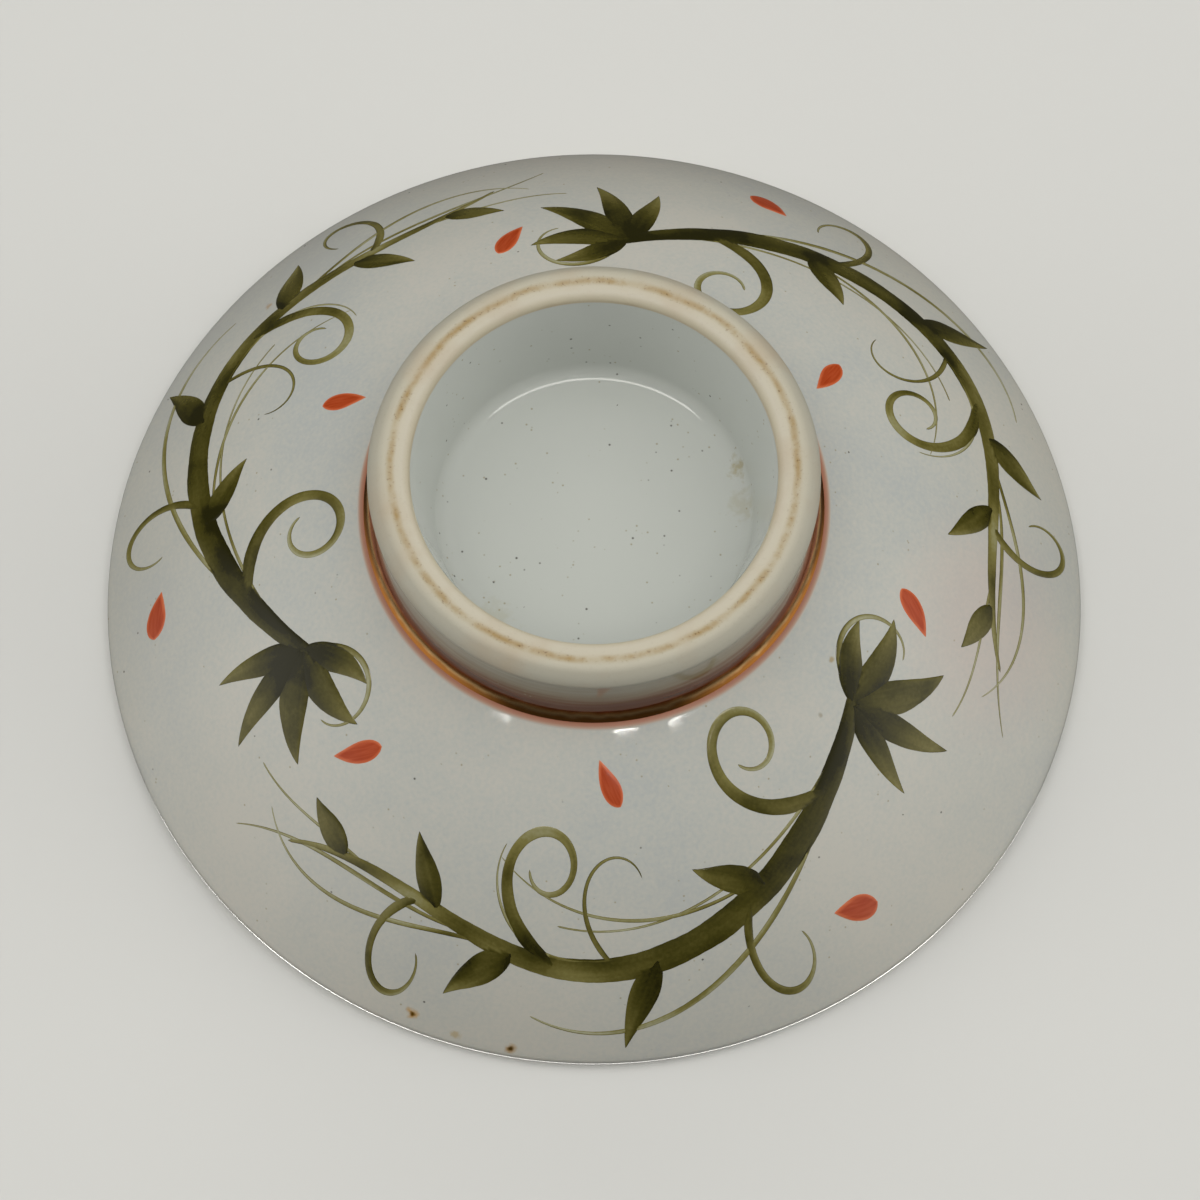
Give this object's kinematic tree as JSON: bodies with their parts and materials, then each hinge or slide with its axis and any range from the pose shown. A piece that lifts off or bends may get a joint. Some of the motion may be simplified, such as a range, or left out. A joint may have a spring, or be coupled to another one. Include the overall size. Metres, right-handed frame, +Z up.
{
  "type": "sake cup",
  "caption": "Shallow porcelain sake cup on a turned foot ring, clear glazed, with brushed enamel vines, a red band and a gilt line.",
  "frame": {"origin": "centre of the foot ring's rest face, on the cup's axis", "axes": "+Z up along the cup's axis, out of its mouth"},
  "size_m": [0.08, 0.08, 0.0297],
  "materials": {
    "porcelain": "bare fired porcelain, matt, cream, with a brown wear line",
    "clear_glaze": "clear glossy glaze over white porcelain",
    "iron_red": "thin iron-red overglaze enamel, soft edged",
    "gilt": "burnished fired gold line",
    "olive_enamel": "translucent olive overglaze enamel, pooled and brushed",
    "coral_enamel": "coral-red overglaze enamel dabs"
  },
  "bodies": {
    "root": {"bowl": "porcelain", "foot_ring": "porcelain", "cup_glaze": "clear_glaze", "well_glaze": "clear_glaze", "red_band": "iron_red", "gilt_line": "gilt", "vine_1": "olive_enamel", "bud_1_1": "coral_enamel", "bud_1_2": "coral_enamel", "bud_1_3": "coral_enamel", "vine_2": "olive_enamel", "bud_2_1": "coral_enamel", "bud_2_2": "coral_enamel", "bud_2_3": "coral_enamel", "vine_3": "olive_enamel", "bud_3_1": "coral_enamel", "bud_3_2": "coral_enamel", "bud_3_3": "coral_enamel"}
  },
  "joints": []
}
